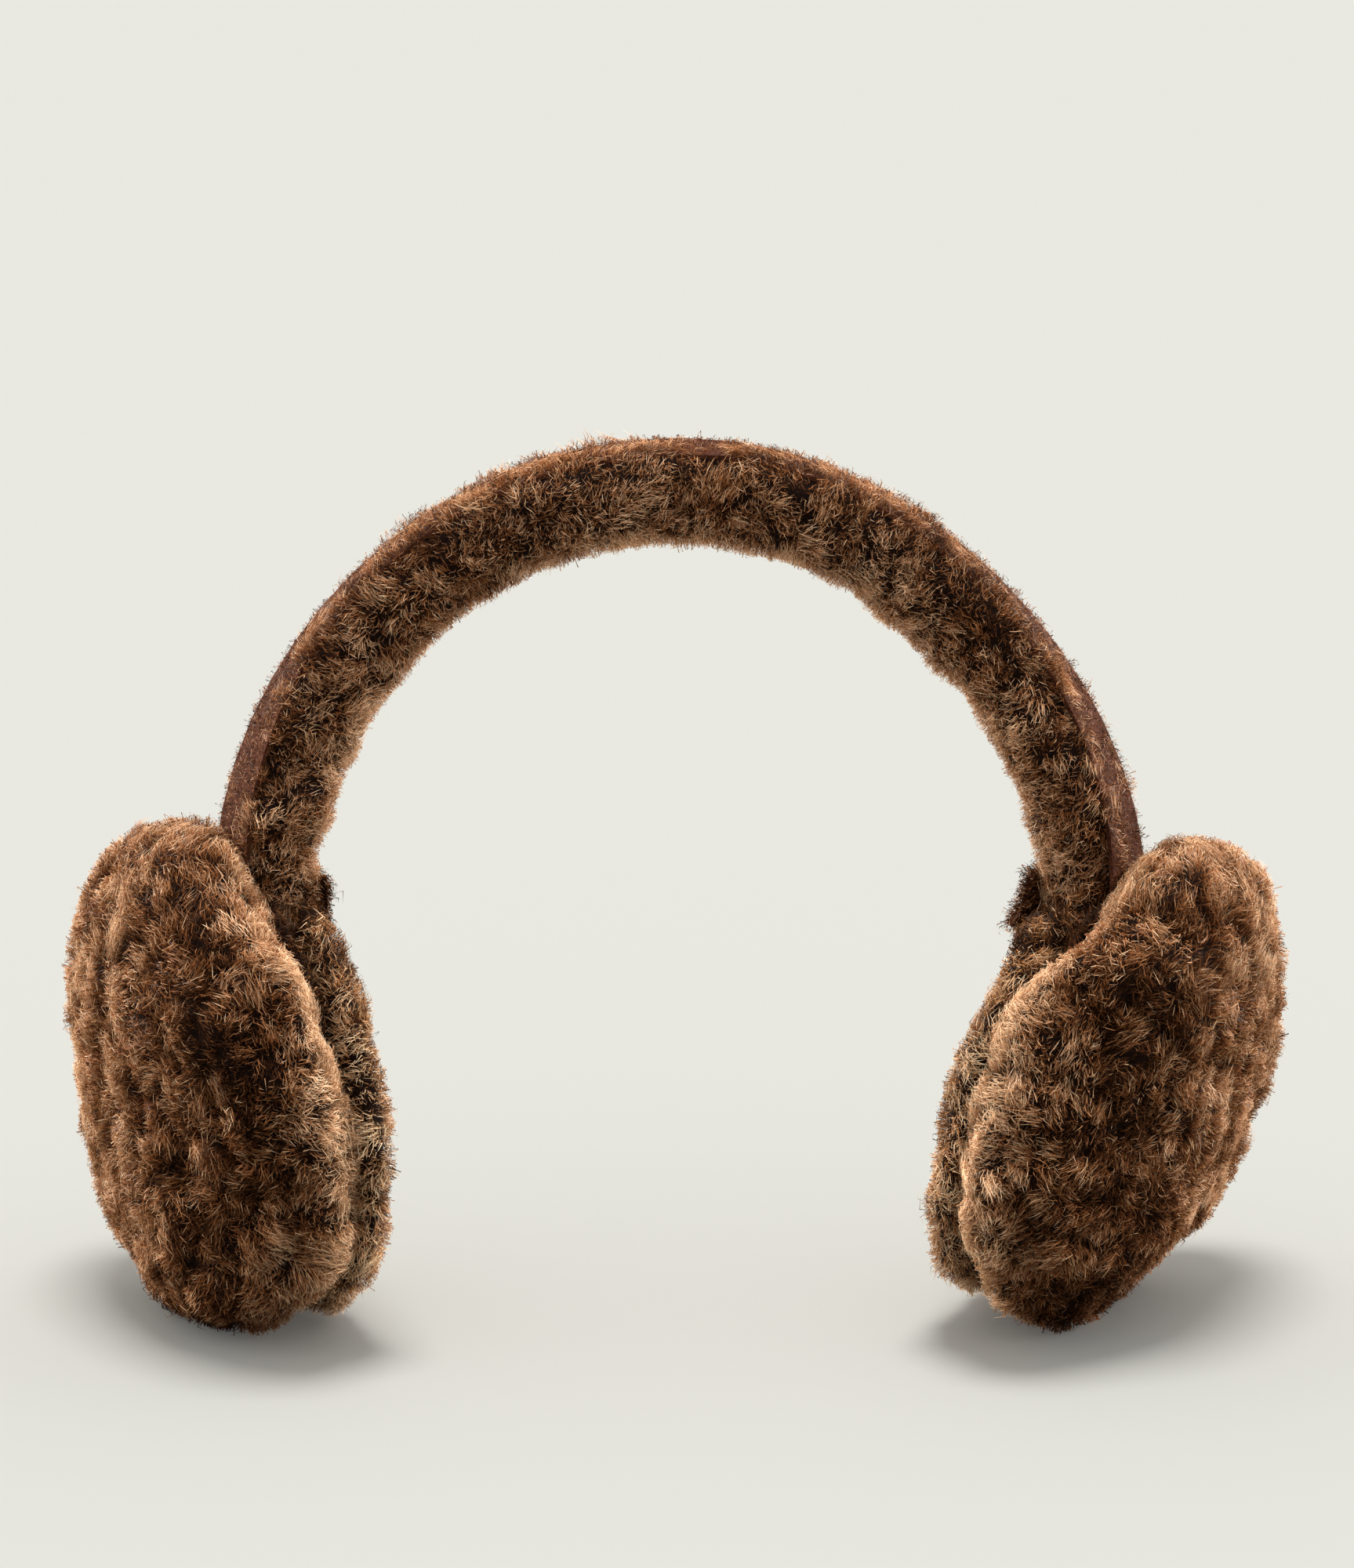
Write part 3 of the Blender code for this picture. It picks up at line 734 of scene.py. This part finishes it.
def make_pad(side, kind, materials):
    """A pad's pelt, and the strands that grow on it."""
    fur = FURS[kind]
    outer = kind == "outer_pad"
    node = side.name + "_" + kind
    slot = "fur" if outer else "inner_fur"
    middle, front, up, out = cup_axes(side)
    face = out if outer else -out
    radius = pad_radius(side)
    pits = [pit for pit in PITS if pit.side == side.name and outer]

    def pit_at(place):
        """Depth of the pits at each place, their darkness, which is painted shade, and the way
        out of them.
        """
        depth = np.zeros(len(place))
        dark = np.zeros(len(place))
        way = np.zeros_like(place)
        for pit in pits:
            spot = middle + radius * (pit.front * front + pit.up * up + pit.out * out)
            away = place - spot
            near = np.exp(-np.sum(away ** 2, axis=1) / (pit.size * radius) ** 2)
            depth += near * pit.depth * radius
            dark = np.maximum(dark, near * pit.dark)
            way += unit(away) * near[:, None]
        return depth, dark, way

    def inset_at(place, normal):
        """The back, which lies against the seam, keeps its place."""
        return fur.inset * above(normal @ face, -0.95, 0.5) + pit_at(place)[0]

    def shift(place):
        """The lower front of an outer pad hangs over the seam, and its lower edge is tucked."""
        away = (place - middle) / radius
        hanging = above(away @ front, *HANG_AHEAD) * below(away @ up, side.overhang_top, 0.8)
        tucked = above(away @ out, *TUCK_OUT) * below(away @ up, *TUCK_LOW)
        moved = -face * (side.overhang * hanging)[:, None]
        return moved - out * (side.tuck * tucked)[:, None]

    pelt = make_pelt(node, inset_at, materials["pelt"], shift if outer else None)
    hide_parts(node)
    whorl = middle + radius * (side.whorl_front * front + side.whorl_up * up)
    rng = np.random.default_rng(100 + 10 * SIDES.index(side) + (not outer))

    def flow(place, normal):
        """The pile runs away from the whorl, and over the rim towards the seam."""
        away = place - whorl
        away -= face * (away @ face)[:, None]
        near = np.linalg.norm(away, axis=1, keepdims=True) / radius
        radial = away / np.maximum(near * radius, 1e-6)
        return radial * np.minimum(near * 3, 1) - face * 0.55 + 2 * pit_at(place)[2]

    def density(place, normal):
        """No pile grows where a pad's back lies against the seam."""
        away = place - middle
        away -= face * (away @ face)[:, None]
        bare = (normal @ face < -0.7) & (np.linalg.norm(away, axis=1) < 0.72 * radius)
        return np.where(bare, 0.0, 1.0)

    def shape(place, normal):
        """Lighter round the rim, where the pile turns over, with painted light, and dark with
        painted shade and short in pits.
        """
        rim = below(normal @ face, 0.85, 1)
        away = (place - middle) / radius
        dark = pit_at(place)[1]
        if outer:
            # Painted light on the rim, the front ridge and what faces the sides.
            ridge = above(away @ front, *RIDGE_AHEAD) * np.exp(-(away @ out / RIDGE_WIDTH) ** 2)
            light = OUTER_RIM_PAINTED_LIGHT * rim + OUTER_TONE + RIDGE_PAINTED_LIGHT * ridge
            light += SIDE_PAINTED_LIGHT * above(np.abs(normal[:, 0]), 0.5, 0.5)
        else:
            # Painted light on the rim, and painted shadow of the band on the upper part.
            light = INNER_TONE + INNER_RIM_PAINTED_LIGHT * above(rim, 0, 0.5)
            light -= INNER_TOP_PAINTED_SHADOW * above(away @ up, *INNER_TOP)
        # Painted shade near the floor.
        light = light - FLOOR_PAINTED_SHADE * below(place[:, 2] / FLOOR_PAINTED_SHADE_HEIGHT, 1, 1)
        return 1 - (1 - PIT_LENGTH) * np.minimum(2 * dark, 1), light - dark

    mesh = grow(node + "_strands", pelt, fur, flow, rng, density, shape)
    link(node + "_strands", mesh, materials[slot])


def arch_centre():
    """Centre of the arch that the suede strip's outer face follows."""
    low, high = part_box("headband_suede")
    return np.array([(low[0] + high[0]) / 2, 0, high[2] - (high[0] - low[0]) / 2])


def arch_radial(place):
    """At each place, the way out from the arch's axis."""
    away = place - arch_centre()
    away[:, 1] = 0
    return unit(away)


def outwards(place, normal):
    """How much a surface of the headband faces out from the arch, from -1 to 1."""
    return np.sum(normal * arch_radial(place), axis=1)


def make_headband(materials):
    """The band's pelt and strands, with no pile under the suede."""
    fur = FURS["headband"]
    node = "headband_fur"
    low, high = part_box("headband_suede")
    band_middle = (high[0] - low[0]) / 2 - BAND_THICKNESS / 2

    def inset_at(place, normal):
        return np.where(outwards(place, normal) > UNDER_SUEDE, 0, fur.inset)

    def flow(place, normal):
        """The pile leans away from the middle of each edge, and swings along the arch."""
        radial = arch_radial(place)
        tangent = np.cross(radial, [0, 1.0, 0])
        across = dot(place - arch_centre(), radial) - band_middle
        swing = smooth_field(place, 0.03, 5)[:, None]
        return radial * np.clip(across / 0.008, -1, 1) + tangent * swing * 0.8

    def density(place, normal):
        return np.where(outwards(place, normal) > BARE_UNDER_SUEDE, 0.0, 1.0)

    def shape(place, normal):
        """The fringe of the inner face is lighter: painted light."""
        inside = np.clip(-outwards(place, normal), 0, 1)
        return 1.0, BAND_INSIDE_PAINTED_LIGHT * inside + BAND_TONE

    pelt = make_pelt(node, inset_at, materials["pelt"])
    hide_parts(node)
    mesh = grow(
        node + "_strands", pelt, fur, flow, np.random.default_rng(300), density, shape)
    link(node + "_strands", mesh, materials["fur"])


def make_headband_wrap(materials):
    """Pile that wraps over the edges of the suede."""
    node = "headband_fur_wrap"
    low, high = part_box("headband_suede")
    degrees = [row.around_deg for row in WRAPS]
    reaches = [row.reach for row in WRAPS]

    def across_suede(place):
        """0 at the front edge of the suede to 1 at its rear edge."""
        return (place[:, 1] - low[1]) / (high[1] - low[1])

    def density(place, normal):
        """Most of all at the arch's shoulders, from the front edge."""
        around = np.degrees(np.arccos(np.clip(arch_radial(place)[:, 2], -1, 1)))
        reach = np.interp(around, degrees, reaches)
        share = across_suede(place) + 0.10 * smooth_field(place, 0.007, 71)
        weight = below(share, reach, WRAP_FADE)
        rear = above(around, REAR_FRINGE_FROM_DEG, REAR_FRINGE_FADE_DEG)
        weight += above(share, 0.91, 0.05) * rear
        return np.where(outwards(place, normal) > 0.3, weight, 0)

    def flow(place, normal):
        """Along the arch, either way, and to the rear."""
        swing = smooth_field(place, 0.02, 15)[:, None]
        return np.cross(arch_radial(place), [0, 1.0, 0]) * swing + np.array([0, 0.35, 0])

    def shape(place, normal):
        return np.where(across_suede(place) > 0.7, REAR_FRINGE_LENGTH, 1.0), 0.0

    mesh = grow(
        node, frame["nodes"]["headband_suede"], FURS["suede_edge"], flow,
        np.random.default_rng(310), density, shape)
    link(node, mesh, materials["fur"])


def make_suede_nap(materials):
    """Short fibres all over the outer face of the suede strip."""
    def density(place, normal):
        return np.where(outwards(place, normal) > 0.3, 1.0, 0.0)

    mesh = grow(
        "headband_suede_nap", frame["nodes"]["headband_suede"], FURS["suede"], any_way,
        np.random.default_rng(400), density)
    link("headband_suede_nap", mesh, materials["nap"])


def make_neck_fold(side, materials):
    """The gathered fold with its tip drawn in, and short pile over it."""
    node = side.name + "_neck_fold"
    _, _, up, out = cup_axes(side)
    mesh = frame["nodes"][node].data.copy()
    points, _, _ = mesh_arrays(mesh)
    inward = -(points @ out)
    share = (inward - inward.min()) / (inward.max() - inward.min())
    points += out * (side.fold_tuck * share)[:, None]
    mesh.vertices.foreach_set("co", points.ravel())
    mesh.update()
    fold = link(node + "_shape", mesh, materials["suede"])
    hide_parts(node)

    def flow(place, normal):
        return -up + any_way(place, normal) * 0.5

    rng = np.random.default_rng(500 + SIDES.index(side))
    # The fold's pile is darkened: painted shade under the band's end.
    pile = grow(
        node + "_pile", fold, FURS["neck_fold"], flow, rng, None, toned(NECK_FOLD_PAINTED_SHADE))
    link(node + "_pile", pile, materials["fur"])


def make_seam_pile(side, materials):
    """Short pile in the groove between the pads, darkened with painted shade."""
    node = side.name + "_seam"
    _, _, _, out = cup_axes(side)

    def density(place, normal):
        """Only round its rim, as the pads cover its faces."""
        return np.where(np.abs(normal @ out) < 0.7, 1.0, 0.0)

    rng = np.random.default_rng(600 + SIDES.index(side))
    mesh = grow(
        node + "_pile", frame["nodes"][node], FURS["seam"], any_way, rng, density,
        toned(SEAM_PAINTED_SHADE))
    link(node + "_pile", mesh, materials["fur"])


def make_suede_material(name, colour):
    """Matt suede: a fine grain over broader patches."""
    tree = Tree(name)
    fine = tree.noise(0.0006, 4, 0.75)
    broad = tree.noise(0.006, 3, 0.6)
    nap = tree.ramp(fine, [
        (0.32, scaled(colour, 0.30)), (0.52, colour), (0.72, scaled(colour, 2.0))])
    shade = tree.ramp(broad, [(0.3, (0.7, 0.7, 0.7)), (0.7, (1.2, 1.2, 1.2))])
    tree.links.new(tree.mix("MULTIPLY", 1.0, nap, shade), tree.shader.inputs["Base Color"])
    tree.bump(fine, 0.0005)
    return tree.finish(SUEDE_SURFACE)


def make_floor():
    """A wide plain floor with a faint glow, which lightens the shadows."""
    bpy.ops.mesh.primitive_circle_add(vertices=96, radius=14, fill_type="NGON")
    floor = bpy.context.object
    floor.name = "floor"
    tree = Tree("floor")
    tree.shader.inputs["Base Color"].default_value = (*FLOOR_COLOUR, 1)
    tree.shader.inputs["Emission Color"].default_value = (*FLOOR_GLOW, 1)
    tree.shader.inputs["Emission Strength"].default_value = 1
    floor.data.materials.append(tree.finish(FLOOR_SURFACE))
    return floor


make_camera()

materials = {
    "fur": make_fur_material("fur", FUR_SHADES),
    "inner_fur": make_fur_material("inner_fur", INNER_SHADES),
    "nap": make_fur_material("nap", NAP_SHADES),
    "pelt": make_pelt_material(),
    "suede": make_suede_material("suede", SUEDE_COLOUR),
    "seam_suede": make_suede_material("seam_suede", SEAM_COLOUR),
}
make_headband(materials)
make_headband_wrap(materials)
make_suede_nap(materials)
for side in SIDES:
    for kind in ("outer_pad", "inner_pad"):
        make_pad(side, kind, materials)
    make_neck_fold(side, materials)
    make_seam_pile(side, materials)
for node, slot in (
        ("headband_suede", "suede"), ("left_seam", "seam_suede"), ("right_seam", "seam_suede")):
    frame["nodes"][node].material_slots[0].material = materials[slot]
make_light(make_floor())
